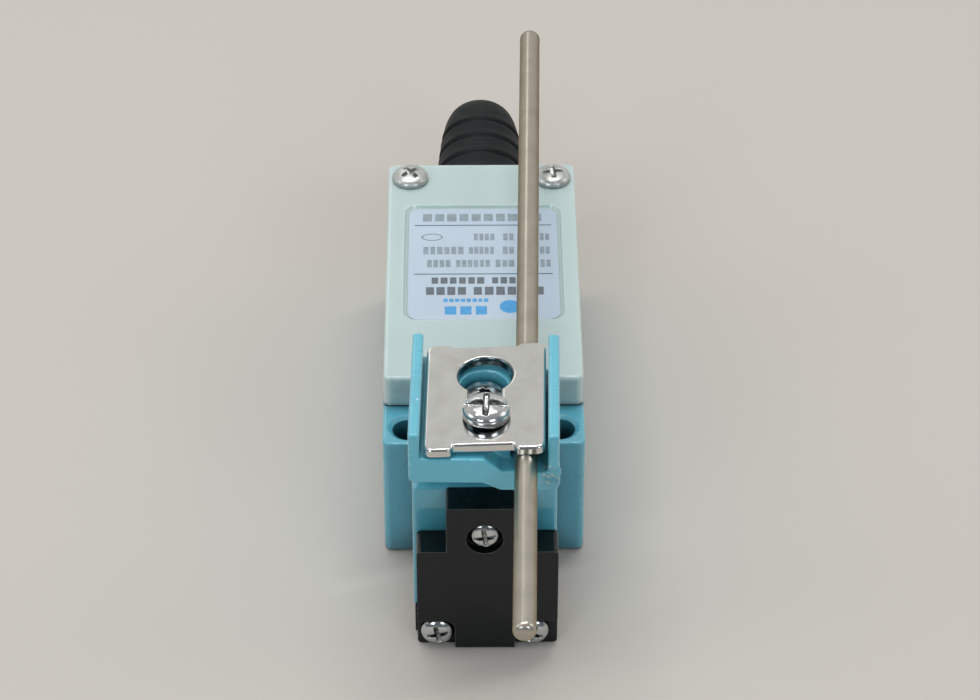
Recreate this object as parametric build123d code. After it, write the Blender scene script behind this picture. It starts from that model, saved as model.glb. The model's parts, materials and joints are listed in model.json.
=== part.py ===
from build123d import *

import math
import os

# Compact limit switch with an adjustable rod lever, lying on its rear face.
#
# Millimetres. +Z points out of the rear mounting face towards the front cover, +Y from the head
# towards the cable boot. The origin is midway between the two mounting holes, on the rear face.

os.makedirs("parts", exist_ok=True)

# ---------------------------------------------------------------- driving dimensions
# Housing and front cover
BODY_WIDTH = 28.0
NEAR_Y = -3.6  # end face that carries the head
FAR_Y = 55.8  # end face that carries the cable gland
LAND_TOP = 19.6  # top of the strip with the two mounting holes
RIM_TOP = 19.3  # rim that the cover gasket lies on
FLOOR = 2.2
WALL = 2.4
COVER_NEAR_Y = 4.7
COVER_WIDTH = 27.8
COVER_BOTTOM = 19.75
COVER_TOP = 24.6
MOUNT_PITCH = 21.0
MOUNT_R = 2.15

# Head
HEAD_WIDTH = 19.4
HEAD_NEAR_Y = -19.1
HEAD_GASKET = 0.3
HEAD_BOTTOM = 4.3
HEAD_TOP = 25.2
CAP_NEAR_Y = -23.6
CAP_BOTTOM = 0.2
CHAMBER_HALF = 4.9
CHAMBER_Z = (7.4, 17.1)
PLUNGER_Z = 12.2

# Shaft and its two-flat cam
SHAFT_Y = -9.0
SHAFT_R = 3.0
CAM_R = 2.2
CAM_HALF = 0.7  # half the thickness between the flats
CAM_GAP = 0.05

# Lever, in its own frame: origin on the shaft axis, -Y towards the clamp screw
LEVER_SET = -1.25  # degrees about the shaft, as the lever is set on it
LEVER_SIDES = (-9.7, 10.05)
LEVER_NEAR = -15.4
LEVER_FAR = 6.3
LEVER_WALL = 1.5
LEVER_BOTTOM = 30.2
LEVER_FLOOR = 34.3
LEVER_TOP = 38.35
ROD_R = 1.5
ROD_LENGTH = 133.4
ROD_END_R = 0.85
ROD_X = 5.7
ROD_Z = 33.8
ROD_NEAR = -47.9
CHANNEL_HALF = 2.0
CLAMP_Y = -8.7
CLAMP_X = 0.4
PLATE_THICK = 1.2
PLATE_TILT = 3.2  # degrees: one side lies on the rod, the other on the lever floor

# Cable gland and boot
GLAND_Z = 11.5
GLAND_THREAD_R = 5.5
CABLE_R = 2.75
BOOT_FAR_Y = 87.4
BOOT_FLAT = 0.78  # height of the boot's oval section over its width

# Built-in switch
CASE_HALF = 10.4
CASE_Y = (12.2, 36.0)
CASE_Z = (2.2, 16.6)
BRIDGE_Y = 21.0
CONTACT_X = 7.2
BRIDGE_STROKE = 1.2

THREAD_GAP = 0.03  # radial gap left between each screw and its tapped hole
RECESS_TAPER = 9  # degrees, walls of each driver recess


# ---------------------------------------------------------------- helpers
def block(x, y, z):
    """A box from three (low, high) pairs."""
    size = [high - low for low, high in (x, y, z)]
    return Pos(*[(low + high) / 2 for low, high in (x, y, z)]) * Box(*size)


def round_z(x, y, radius, z):
    """A cylinder along Z between the two heights in z."""
    return Pos(x, y, sum(z) / 2) * Cylinder(radius, z[1] - z[0])


def round_y(x, z, radius, y):
    """A cylinder along Y between the two places in y."""
    return Pos(x, sum(y) / 2, z) * Rot(90, 0, 0) * Cylinder(radius, y[1] - y[0])


def edges_along(shape, axis):
    return shape.edges().filter_by(axis)


def top_edges(shape, z):
    """Edges that lie flat at height z."""
    return shape.edges().filter_by_position(Axis.Z, z - 0.01, z + 0.01)


def cross_recess(reach, width, depth):
    """Tapered cross for a driver, sunk from z = 0 downwards."""
    arms = Rectangle(2 * reach, width) + Rectangle(width, 2 * reach)
    return extrude(arms, amount=-depth, taper=RECESS_TAPER)


def pan_screw(head_r, head_h, shank_r, length, slot=False):
    """A pan-head screw pointing down: the head's underside is at z = 0."""
    head = Pos(0, 0, head_h / 2) * Cylinder(head_r, head_h)
    head = fillet(top_edges(head, head_h), 0.62 * head_h)
    screw = head + round_z(0, 0, shank_r, (-length, 0.0))
    screw = chamfer(top_edges(screw, -length), 0.3 * shank_r)
    screw -= Pos(0, 0, head_h) * cross_recess(0.56 * head_r, 0.22 * head_r, 0.62 * head_h)
    if slot:
        groove = (-0.11 * head_r, 0.11 * head_r)
        screw -= block(groove, (-head_r, head_r), (0.72 * head_h, head_h))
    return screw


def coil(radius, wire_r, length, turns):
    """A compression spring along +Z from z = 0, with its wire's centre line inside the length."""
    rise = length - 2 * wire_r
    path = Helix(pitch=rise / turns, height=rise, radius=radius)
    section = Plane(origin=path @ 0, z_dir=path % 0) * Circle(wire_r)
    return Pos(0, 0, wire_r) * sweep(section, path=path)


def ring(outer, inner, y):
    """A flat ring around the Y axis through the gland's centre."""
    return round_y(0, GLAND_Z, outer, y) - round_y(0, GLAND_Z, inner, y)


def export(name, *solids):
    shape = solids[0] if len(solids) == 1 else Compound(children=list(solids))
    export_step(shape, f"parts/{name}.step")


def both_sides(x):
    return (-x, x)


# ---------------------------------------------------------------- housing, gasket, cover, label
COVER_SCREW_X = 10.6
COVER_SCREW_Y = 51.9
COVER_SCREW_R = 1.5
BOSS_R = 3.1
CORNER_SCREW_X = 6.45
CORNER_SCREW_Z = 2.7
CORNER_SCREW_R = 1.15
CORNER_SCREW_END = 5.0
HEAD_SCREW_X = 6.5
HEAD_SCREW_Z = 16.0
HEAD_SCREW_R = 1.25
CAVITY_X = BODY_WIDTH / 2 - WALL
CAVITY_NEAR_Y = 6.4
CAVITY_FAR_Y = FAR_Y - WALL
GUIDE_R = 3.3
GUIDE_END_Y = 2.8
STEM_R = 1.4
SEAL_R = 2.6  # pocket for the stem's ring seal, open to the cavity
SEAL_Y = (4.6, 6.5)
SWITCH_SCREWS = ((-8.7, 14.2), (8.7, 14.2))
SWITCH_SCREW_R = 1.25


def housing():
    half = BODY_WIDTH / 2
    body = block(both_sides(half), (NEAR_Y, FAR_Y), (0, LAND_TOP))
    body = fillet(edges_along(body, Axis.Z), 1.0)
    body = fillet(body.faces().sort_by(Axis.Z)[0].edges(), 0.5)
    body = fillet(top_edges(body, LAND_TOP), 0.4)
    body -= block(both_sides(half + 1), (COVER_NEAR_Y, FAR_Y + 1), (RIM_TOP, LAND_TOP + 1))
    cavity = block(both_sides(CAVITY_X), (CAVITY_NEAR_Y, CAVITY_FAR_Y), (FLOOR, LAND_TOP))
    cavity = fillet(edges_along(cavity, Axis.Z), 1.2)
    for x in both_sides(COVER_SCREW_X):
        cavity -= round_z(x, COVER_SCREW_Y, BOSS_R, (FLOOR, RIM_TOP))
    body -= cavity
    for x in both_sides(MOUNT_PITCH / 2):
        hole = round_z(x, 0, MOUNT_R, (-1, LAND_TOP + 1))
        lip = Pos(x, 0, LAND_TOP - 0.2) * Cone(MOUNT_R, MOUNT_R + 0.6, 0.4)
        body -= hole + lip
    for x in both_sides(COVER_SCREW_X):
        body -= round_z(x, COVER_SCREW_Y, COVER_SCREW_R + THREAD_GAP, (12.0, LAND_TOP))
    for x in both_sides(CORNER_SCREW_X):
        reach = (NEAR_Y - 1, CORNER_SCREW_END + 0.3)
        body -= round_y(x, CORNER_SCREW_Z, CORNER_SCREW_R + THREAD_GAP, reach)
    for x in both_sides(HEAD_SCREW_X):
        body -= round_y(x, HEAD_SCREW_Z, HEAD_SCREW_R + 0.15, (NEAR_Y - 1, CAVITY_NEAR_Y + 1))
    body -= round_y(0, PLUNGER_Z, GUIDE_R + 0.05, (NEAR_Y - 1, GUIDE_END_Y))
    body -= round_y(0, PLUNGER_Z, STEM_R + 0.05, (NEAR_Y, CAVITY_NEAR_Y + 1))
    body -= round_y(0, PLUNGER_Z, SEAL_R, SEAL_Y)
    body -= round_y(0, GLAND_Z, GLAND_THREAD_R + THREAD_GAP, (CAVITY_FAR_Y - 1, FAR_Y + 1))
    for x, y in SWITCH_SCREWS:
        body -= round_z(x, y, SWITCH_SCREW_R + THREAD_GAP, (0.8, FLOOR + 1))
    return body


def stem_seal():
    """Rubber ring around the plunger's stem, in the pocket at the cavity's near wall."""
    seal = round_y(0, PLUNGER_Z, SEAL_R - 0.02, (SEAL_Y[0] + 0.02, SEAL_Y[1] - 0.2))
    seal = fillet(seal.edges(), 0.4)
    return seal - round_y(0, PLUNGER_Z, STEM_R + 0.03, (4.0, 7.0))


LIP = 1.4  # width of the cover's inner lip
LIP_GAP = 0.15
LIP_BOTTOM = RIM_TOP - 0.9


def cover_gasket():
    """Flat gasket on the rim, with a hole for each cover screw."""
    half = BODY_WIDTH / 2 - 0.45
    near = COVER_NEAR_Y + 0.15
    sheet = block(both_sides(half), (near, FAR_Y - 0.45), (RIM_TOP, COVER_BOTTOM))
    sheet = fillet(edges_along(sheet, Axis.Z), 0.7)
    middle = block(both_sides(CAVITY_X), (CAVITY_NEAR_Y, CAVITY_FAR_Y), (RIM_TOP, COVER_BOTTOM))
    middle = fillet(edges_along(middle, Axis.Z), 1.2)
    for x in both_sides(COVER_SCREW_X):
        middle -= round_z(x, COVER_SCREW_Y, BOSS_R, (RIM_TOP, COVER_BOTTOM))
    sheet -= middle
    for x in both_sides(COVER_SCREW_X):
        sheet -= round_z(x, COVER_SCREW_Y, COVER_SCREW_R + 0.1, (RIM_TOP, COVER_BOTTOM))
    return sheet


LABEL_SIZE = (21.7, 26.4)
LABEL_PLACE = (0.15, 31.5)
LABEL_THICK = 0.12
PANEL_SIZE = (23.1, 27.5)
PANEL_PLACE = (0.15, 31.6)
PANEL_DEPTH = 0.45
COVER_WALL = 2.0


def front_cover():
    half = COVER_WIDTH / 2
    shell = block(both_sides(half), (COVER_NEAR_Y, FAR_Y - 0.05), (COVER_BOTTOM, COVER_TOP))
    shell = fillet(edges_along(shell, Axis.Z), 1.0)
    shell = fillet(top_edges(shell, COVER_TOP), 0.45)
    inner = CAVITY_X - LIP_GAP
    ends = (CAVITY_NEAR_Y + LIP_GAP, CAVITY_FAR_Y - LIP_GAP)
    lip = block(both_sides(inner), ends, (LIP_BOTTOM, COVER_BOTTOM))
    lip = fillet(edges_along(lip, Axis.Z), 1.0)
    hollow_ends = (ends[0] + LIP, ends[1] - LIP)
    hollow_top = COVER_TOP - COVER_WALL - PANEL_DEPTH
    hollow = block(both_sides(inner - LIP), hollow_ends, (LIP_BOTTOM, hollow_top))
    hollow = fillet(edges_along(hollow, Axis.Z), 1.0)
    for x in both_sides(COVER_SCREW_X):
        lip -= round_z(x, COVER_SCREW_Y, BOSS_R + LIP_GAP, (LIP_BOTTOM - 1, COVER_BOTTOM))
        hollow -= round_z(x, COVER_SCREW_Y, BOSS_R, (LIP_BOTTOM - 1, COVER_TOP))
    cover = shell + (lip - hollow) - hollow
    panel = Pos(*PANEL_PLACE, COVER_TOP) * RectangleRounded(*PANEL_SIZE, 1.9)
    cover -= extrude(panel, amount=-PANEL_DEPTH, taper=35)
    for x in both_sides(COVER_SCREW_X):
        cover -= round_z(x, COVER_SCREW_Y, COVER_SCREW_R + 0.2, (LIP_BOTTOM, COVER_TOP + 1))
    return cover


def label():
    bottom = COVER_TOP - PANEL_DEPTH
    return extrude(Pos(*LABEL_PLACE, bottom) * RectangleRounded(*LABEL_SIZE, 1.6), amount=LABEL_THICK)


def cover_screws():
    for x, turn in ((-COVER_SCREW_X, 38), (COVER_SCREW_X, 8)):
        screw = pan_screw(2.68, 1.5, COVER_SCREW_R, 11.0)
        yield Pos(x, COVER_SCREW_Y, COVER_TOP) * Rot(0, 0, turn) * screw


# ---------------------------------------------------------------- cable gland and boot
COLLAR_R = 6.9
GLAND_INNER_Y = 49.6
LOCKNUT_Y = (51.2, CAVITY_FAR_Y)
LOCKNUT_FLATS = 12.8
GLAND_NUT_Y = (58.3, 63.0)
GLAND_NUT_R = 7.1
SLEEVE_END_Y = 61.0
FLANGE_Y = (61.05, 61.85)


def gland_body():
    """Threaded sleeve through the housing's end wall, with a collar outside."""
    sleeve = round_y(0, GLAND_Z, GLAND_THREAD_R, (GLAND_INNER_Y, SLEEVE_END_Y))
    sleeve = chamfer(sleeve.edges().filter_by(GeomType.CIRCLE), 0.5)
    sleeve += round_y(0, GLAND_Z, COLLAR_R, (56.5, GLAND_NUT_Y[0] - 0.1))
    sleeve -= round_y(0, GLAND_Z, CABLE_R + 0.6, (GLAND_INNER_Y - 1, SLEEVE_END_Y + 1))
    return sleeve


def gland_washer():
    washer = ring(COLLAR_R, GLAND_THREAD_R + 0.05, (FAR_Y, 56.5))
    return washer


def gland_locknut():
    outline = RegularPolygon(LOCKNUT_FLATS / 2, 6, major_radius=False)
    nut = extrude(outline, amount=LOCKNUT_Y[1] - LOCKNUT_Y[0])
    nut = Pos(0, LOCKNUT_Y[1], GLAND_Z) * Rot(90, 0, 0) * nut
    return nut - round_y(0, GLAND_Z, GLAND_THREAD_R + THREAD_GAP, (LOCKNUT_Y[0] - 1, LOCKNUT_Y[1] + 1))


def gland_nut():
    """Fluted cap nut that holds the boot's flange on the sleeve."""
    low, high = GLAND_NUT_Y
    nut = round_y(0, GLAND_Z, GLAND_NUT_R, (low, high))
    nut = fillet(nut.edges().filter_by(GeomType.CIRCLE), 0.6)
    flutes = 16
    for i in range(flutes):
        turn = 2 * math.pi * i / flutes
        x = (GLAND_NUT_R + 0.35) * math.cos(turn)
        z = GLAND_Z + (GLAND_NUT_R + 0.35) * math.sin(turn)
        nut -= round_y(x, z, 0.75, (low - 1, high - 1.2))
    nut -= round_y(0, GLAND_Z, GLAND_THREAD_R + THREAD_GAP, (low - 1, FLANGE_Y[1] + 0.05))
    nut -= round_y(0, GLAND_Z, BOOT_NECK_R + 0.1, (low, high + 1))
    return nut


BOOT_NECK_R = 4.8
BOOT_RIB_PITCH = 4.7
BOOT_FIRST_GROOVE = 65.5
BOOT_GROOVES = 4
BOOT_OUTLINE = ((6.95, 66.5), (6.65, 73.0), (6.25, 78.0), (5.85, 82.0))  # half-width, Y
BOOT_TAPER = 0.065  # radius lost per millimetre, along the grooves
BOOT_NOSE = ((5.15, 85.2), (4.5, 86.7), (3.95, BOOT_FAR_Y))


def cable_boot():
    """Rubber boot: a flange inside the nut, then a tapered oval sleeve with four grooves."""
    near = GLAND_NUT_Y[1] + 0.1
    outline = Polyline((0, near), (7.05, near), *BOOT_OUTLINE)
    nose = Spline(BOOT_OUTLINE[-1], *BOOT_NOSE, tangents=((-0.1, 1.0), (-1.0, 0.4)))
    close = Polyline(BOOT_NOSE[-1], (0, BOOT_FAR_Y), (0, near))
    sleeve = revolve(make_face(outline + nose + close), Axis.Y)
    for i in range(BOOT_GROOVES):
        y = BOOT_FIRST_GROOVE + BOOT_RIB_PITCH * i
        radius = BOOT_OUTLINE[0][0] - BOOT_TAPER * (y - BOOT_OUTLINE[0][1])
        sleeve -= Pos(0, y, 0) * Rot(90, 0, 0) * Torus(radius + 0.15, 0.55)
    sleeve = Pos(0, 0, GLAND_Z) * scale(sleeve, by=(1, 1, BOOT_FLAT))
    flange = round_y(0, GLAND_Z, GLAND_THREAD_R, FLANGE_Y)
    neck = round_y(0, GLAND_Z, BOOT_NECK_R, (FLANGE_Y[0], near + 0.5))
    boot = sleeve + flange + neck
    return boot - round_y(0, GLAND_Z, CABLE_R, (60.0, BOOT_FAR_Y + 1))


# ---------------------------------------------------------------- head
CASTING_REAR_Y = NEAR_Y - HEAD_GASKET
BOSS_TOP = 26.7
HEAD_BOSS_R = 5.0
BUSH_R = 4.2
BUSH_Z = (CHAMBER_Z[1] + 0.1, 23.4)
SEAL_RING_Z = (23.5, 24.9)
GUARD_Z = (25.0, BOSS_TOP)
JOURNAL_R = 2.5
JOURNAL_BOTTOM = 5.6
CAP_SCREW_Z = 19.8
CAP_SCREW_R = 0.95
CAP_SCREW_HEAD_R = 2.25
CAP_SCREW_SINK = 1.3
CORNER_HEAD_R = 2.3


def head_casting():
    half = HEAD_WIDTH / 2
    ends = (HEAD_NEAR_Y, CASTING_REAR_Y)
    body = block(both_sides(half), ends, (HEAD_BOTTOM, HEAD_TOP))
    body = fillet(edges_along(body, Axis.Z), 0.5)
    body = fillet(edges_along(body, Axis.Y).sort_by(Axis.Z)[-2:], 0.8)
    body += round_z(0, SHAFT_Y, HEAD_BOSS_R, (HEAD_TOP - 1, BOSS_TOP))
    chamber = block(both_sides(CHAMBER_HALF), (HEAD_NEAR_Y - 1, CASTING_REAR_Y - 1.0), CHAMBER_Z)
    body -= fillet(edges_along(chamber, Axis.Y), 0.8)
    body -= round_y(0, PLUNGER_Z, GUIDE_R + 0.2, (CASTING_REAR_Y - 2, NEAR_Y))
    body -= round_z(0, SHAFT_Y, JOURNAL_R + 0.03, (JOURNAL_BOTTOM - 0.2, CHAMBER_Z[1]))
    body -= round_z(0, SHAFT_Y, BUSH_R, (CHAMBER_Z[1] - 1, BOSS_TOP + 1))
    for x in both_sides(HEAD_SCREW_X):
        body -= round_y(x, HEAD_SCREW_Z, HEAD_SCREW_R + THREAD_GAP, (-10.4, NEAR_Y))
    body -= round_y(0, CAP_SCREW_Z, CAP_SCREW_R + THREAD_GAP, (HEAD_NEAR_Y - 1, -15.0))
    return body


def head_gasket():
    half = HEAD_WIDTH / 2 - 0.4
    sheet = block(both_sides(half), (CASTING_REAR_Y, NEAR_Y), (HEAD_BOTTOM + 0.3, LAND_TOP - 0.5))
    sheet = fillet(edges_along(sheet, Axis.Y), 0.6)
    sheet -= round_y(0, PLUNGER_Z, GUIDE_R + 0.3, (CASTING_REAR_Y - 1, NEAR_Y + 1))
    for x in both_sides(HEAD_SCREW_X):
        sheet -= round_y(x, HEAD_SCREW_Z, HEAD_SCREW_R + 0.15, (CASTING_REAR_Y - 1, NEAR_Y + 1))
    return sheet


CAP_HALF = 9.5
CAP_SHIFT = 0.35  # the cap sits this far to one side of the head
CAP_NECK_HALF = 5.5
CAP_SHOULDER = 17.55
CAP_TOP = 25.15
CAP_LEG_TOP = 4.25
CORNER_POCKET = 1.0
SPRING_POCKET_R = 3.75
SPRING_POCKET_Y = -20.6


def head_cap():
    """Black moulded cap: an end plate shaped like an upturned T, and a leg under the casting."""
    ends = (CAP_NEAR_Y, HEAD_NEAR_Y)
    plate = block(both_sides(CAP_HALF), ends, (CAP_BOTTOM, CAP_SHOULDER))
    plate = fillet(edges_along(plate, Axis.Y), 0.6)
    neck = block(both_sides(CAP_NECK_HALF), ends, (CAP_SHOULDER - 1, CAP_TOP))
    cap = Pos(CAP_SHIFT, 0, 0) * (plate + fillet(edges_along(neck, Axis.Y).sort_by(Axis.Z)[-2:], 0.35))
    leg_half = HEAD_WIDTH / 2 - 0.2
    cap += block(both_sides(leg_half), (HEAD_NEAR_Y - 1, NEAR_Y - 0.05), (CAP_BOTTOM, CAP_LEG_TOP))
    for side in (-1, 1):
        inner = side * 4.05
        pocket = block(sorted((inner, side * 12)), (CAP_NEAR_Y - 1, CAP_NEAR_Y + CORNER_POCKET), (-2, 5.1))
        corner = edges_along(pocket, Axis.Y).sort_by(lambda edge: abs(edge.center().X) - edge.center().Z)[0]
        cap -= fillet(corner, 1.6)
        x = side * CORNER_SCREW_X
        cap -= round_y(x, CORNER_SCREW_Z, CORNER_SCREW_R + 0.1, (CAP_NEAR_Y, NEAR_Y))
    sink = (CAP_NEAR_Y - 1, CAP_NEAR_Y + CAP_SCREW_SINK)
    cap -= round_y(0, CAP_SCREW_Z, CAP_SCREW_HEAD_R + 0.25, sink)
    cap -= round_y(0, CAP_SCREW_Z, CAP_SCREW_R + 0.15, (CAP_NEAR_Y, HEAD_NEAR_Y + 1))
    cap -= round_y(0, PLUNGER_Z, SPRING_POCKET_R, (SPRING_POCKET_Y, HEAD_NEAR_Y + 1))
    return cap


def cap_corner_screws():
    under_head = CAP_NEAR_Y + CORNER_POCKET
    length = CORNER_SCREW_END - under_head
    for side, turn in ((-1, 12), (1, -20)):
        screw = pan_screw(CORNER_HEAD_R, 1.35, CORNER_SCREW_R, length)
        place = Pos(side * CORNER_SCREW_X, under_head, CORNER_SCREW_Z)
        yield place * Rot(90, 0, 0) * Rot(0, 0, turn) * screw


def cap_centre_screw():
    screw = pan_screw(CAP_SCREW_HEAD_R, 1.2, CAP_SCREW_R, 6.8)
    place = Pos(0, CAP_NEAR_Y + CAP_SCREW_SINK, CAP_SCREW_Z)
    return place * Rot(90, 0, 0) * Rot(0, 0, 8) * screw


def head_screws():
    for x in both_sides(HEAD_SCREW_X):
        screw = pan_screw(2.2, 1.5, HEAD_SCREW_R, 16.4)
        yield Pos(x, CAVITY_NEAR_Y, HEAD_SCREW_Z) * Rot(-90, 0, 0) * screw


def shaft_sleeve(outer, inner, z):
    return round_z(0, SHAFT_Y, outer, z) - round_z(0, SHAFT_Y, inner, (z[0] - 1, z[1] + 1))


def shaft_bush():
    bush = shaft_sleeve(BUSH_R, SHAFT_R + 0.03, BUSH_Z)
    return chamfer(top_edges(bush, BUSH_Z[1]), 0.2)


def shaft_seal_ring():
    seal = round_z(0, SHAFT_Y, BUSH_R, SEAL_RING_Z)
    seal = fillet(seal.edges().filter_by(GeomType.CIRCLE), 0.5)
    return seal - round_z(0, SHAFT_Y, SHAFT_R + 0.02, (20, 30))


def seal_guard():
    """Steel ring pressed into the top of the boss, over the seal."""
    return shaft_sleeve(BUSH_R, SHAFT_R + 0.1, GUARD_Z)


# ---------------------------------------------------------------- shaft and plungers
SHOULDER_Z = 28.6
SPIGOT_R = 2.4
SPIGOT_HALF = 1.9
SPIGOT_TOP = 31.2
CAM_Z = (8.0, 16.0)
GROOVE_Z = (16.3, 17.0)
GROOVE_R = 2.4
LEVER_SCREW_R = 1.2
RETURN_PAD_Y = SHAFT_Y - CAM_R - CAM_GAP
PUSH_PAD_Y = SHAFT_Y + CAM_R + CAM_GAP


def shaft():
    """Operating shaft: journal, two-flat cam, main bearing, and a spigot with flats for the lever."""
    spin = round_z(0, 0, JOURNAL_R, (JOURNAL_BOTTOM, CAM_Z[0]))
    spin += round_z(0, 0, CAM_R, CAM_Z) & block((-5, 5), both_sides(CAM_HALF), CAM_Z)
    spin += round_z(0, 0, SHAFT_R, (CAM_Z[1], SHOULDER_Z))
    spigot = round_z(0, 0, SPIGOT_R, (SHOULDER_Z, SPIGOT_TOP))
    spigot &= block((-5, 5), both_sides(SPIGOT_HALF), (SHOULDER_Z, SPIGOT_TOP))
    spin += Rot(0, 0, LEVER_SET) * spigot
    spin -= round_z(0, 0, 5, GROOVE_Z) - round_z(0, 0, GROOVE_R, GROOVE_Z)
    spin -= round_z(0, 0, LEVER_SCREW_R + THREAD_GAP, (24.0, SPIGOT_TOP + 1))
    return Pos(0, SHAFT_Y, 0) * spin


def shaft_clip():
    """Open retaining ring in the shaft's groove, under the head's bearing."""
    low, high = GROOVE_Z[0] + 0.05, GROOVE_Z[1] - 0.05
    clip = round_z(0, 0, 3.8, (low, high)) - round_z(0, 0, GROOVE_R + 0.02, (0, 30))
    clip -= block((-1.2, 1.2), (-5, 0), (low - 1, high + 1))
    return Pos(0, SHAFT_Y, 0) * clip


RETURN_SPRING_R = 3.0
RETURN_SEAT_Y = RETURN_PAD_Y - 2.0


def return_plunger():
    """Flat pad that bears on the cam's near flat, with a peg for its spring."""
    pad = block(both_sides(4.6), (RETURN_SEAT_Y, RETURN_PAD_Y), (CAM_Z[0] + 0.2, CAM_Z[1] - 0.2))
    pad = fillet(edges_along(pad, Axis.Y), 0.8)
    return pad + round_y(0, PLUNGER_Z, 2.2, (RETURN_SEAT_Y - 1.6, RETURN_SEAT_Y))


def return_spring():
    length = RETURN_SEAT_Y - SPRING_POCKET_Y
    spring = coil(RETURN_SPRING_R, 0.4, length - 0.02, 5)
    return Pos(0, SPRING_POCKET_Y + 0.01, PLUNGER_Z) * Rot(-90, 0, 0) * spring


PUSH_HEAD_END_Y = -2.6
PUSH_END_Y = 7.4


def operating_plunger():
    """Round plunger that carries the cam's lift through the end wall to the built-in switch."""
    head = round_y(0, PLUNGER_Z, GUIDE_R, (PUSH_PAD_Y, PUSH_HEAD_END_Y))
    head = chamfer(head.edges().filter_by(GeomType.CIRCLE), 0.3)
    stem = round_y(0, PLUNGER_Z, STEM_R, (PUSH_HEAD_END_Y - 1, PUSH_END_Y))
    return head + stem


def plunger_spring():
    length = GUIDE_END_Y - PUSH_HEAD_END_Y
    spring = coil(2.4, 0.3, length - 0.02, 5)
    return Pos(0, PUSH_HEAD_END_Y + 0.01, PLUNGER_Z) * Rot(-90, 0, 0) * spring


# ---------------------------------------------------------------- lever
def in_lever_frame(shape):
    """Places a piece drawn about the shaft axis, turned to the lever's set angle."""
    return Pos(0, SHAFT_Y, 0) * Rot(0, 0, LEVER_SET) * shape


CHANNEL_FLOOR = ROD_Z - ROD_R - 0.02
PAD_BOTTOM = 29.05
LEVER_SCREW_SEAT = 31.4
LEVER_BORE_TOP_R = 3.2
CLAMP_R = 1.7


def lever_section():
    """Cross-section through the lever's channel, looking along +Y."""
    left, right = LEVER_SIDES
    inner_left, inner_right = left + LEVER_WALL, right - LEVER_WALL
    channel_side = ROD_X - CHANNEL_HALF
    return Polyline(
        (left, LEVER_TOP),
        (left, LEVER_BOTTOM),
        (0.3, LEVER_BOTTOM),
        (2.6, PAD_BOTTOM),
        (right, PAD_BOTTOM),
        (right, LEVER_TOP),
        (inner_right, LEVER_TOP),
        (inner_right, CHANNEL_FLOOR),
        (channel_side, CHANNEL_FLOOR),
        (channel_side, LEVER_FLOOR),
        (inner_left, LEVER_FLOOR),
        (inner_left, LEVER_TOP),
        (left, LEVER_TOP),
    )


def lever_arm():
    face = make_face(Plane.XZ * lever_section())
    arm = Pos(0, LEVER_FAR, 0) * extrude(face, amount=LEVER_FAR - LEVER_NEAR)
    outer = [
        edge
        for edge in edges_along(arm, Axis.Y)
        if min(abs(edge.center().X - side) for side in LEVER_SIDES) < 0.01
    ]
    arm = fillet([edge for edge in outer if edge.center().Z < LEVER_FLOOR], 0.8)
    walls = [edge for edge in edges_along(arm, Axis.Y) if edge.center().Z > LEVER_TOP - 0.01]
    arm = fillet(walls, 0.35)
    posts = [edge for edge in edges_along(arm, Axis.Z) if edge.center().Z > LEVER_FLOOR]
    arm = fillet(posts, 0.4)
    ramp = Polyline(
        (0.2, LEVER_FLOOR),
        (2.6, CHANNEL_FLOOR),
        (4.0, CHANNEL_FLOOR),
        (4.0, LEVER_FLOOR),
        (0.2, LEVER_FLOOR),
    )
    arm -= Pos(0, -12.4, 0) * extrude(make_face(Plane.XZ * ramp), amount=5)
    arm += round_z(0, 0, HEAD_BOSS_R, (BOSS_TOP + 0.7, LEVER_BOTTOM + 1))
    arm -= round_z(0, 0, LEVER_BORE_TOP_R, (LEVER_SCREW_SEAT, LEVER_TOP))
    hole = round_z(0, 0, SPIGOT_R + 0.02, (0, 50)) & block((-5, 5), both_sides(SPIGOT_HALF + 0.02), (0, 50))
    arm -= hole
    arm -= round_z(0, 0, SHAFT_R + 0.03, (0, SHOULDER_Z))
    arm -= round_z(CLAMP_X, CLAMP_Y, CLAMP_R + THREAD_GAP, (0, 50))
    return in_lever_frame(arm)


def lever_screw():
    screw = pan_screw(2.65, 1.85, LEVER_SCREW_R, 6.6)
    return in_lever_frame(Pos(0, 0, LEVER_SCREW_SEAT) * Rot(0, 0, 30) * screw)


PLATE_LEFT = -7.75
PLATE_RIGHT = 8.3
PLATE_MID_NEAR = -14.45
PLATE_MID_FAR = 6.1
PLATE_EDGE_R = 0.4
PLATE_EAR = 0.9
PLATE_MIDDLE = (-3.8, 4.2)  # ends of the set-back middle of the near and far edges
KEYHOLE_X = 0.2
KEYHOLE_R = 3.62
KEYHOLE_SLOT_R = 2.2


def plate_outline():
    """Plate seen from above: straight sides, and an ear at each corner past the set-back middle."""
    near, far = PLATE_MID_NEAR - PLATE_EAR, PLATE_MID_FAR + 0.6
    sheet = Pos((PLATE_LEFT + PLATE_RIGHT) / 2, (near + far) / 2) * Rectangle(
        PLATE_RIGHT - PLATE_LEFT, far - near
    )
    sheet = fillet(sheet.vertices(), 1.2)
    middle = PLATE_MIDDLE
    for edge, outside, lead in ((PLATE_MID_NEAR, near - 1, 0.9), (PLATE_MID_FAR, far + 1, 2.8)):
        bite = Polyline(
            (middle[0], edge),
            (middle[1], edge),
            (middle[1] + lead, outside),
            (middle[0] - lead, outside),
            (middle[0], edge),
        )
        sheet -= make_face(bite)
    near_soft = [v for v in sheet.vertices() if v.Y < 0 and middle[0] - 1 < v.X < middle[1] + 1]
    sheet = fillet(near_soft, 0.45)
    far_soft = [v for v in sheet.vertices() if v.Y > 0 and middle[0] - 2.4 < v.X < middle[1] + 2.4]
    return fillet(far_soft, 0.5)


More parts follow.
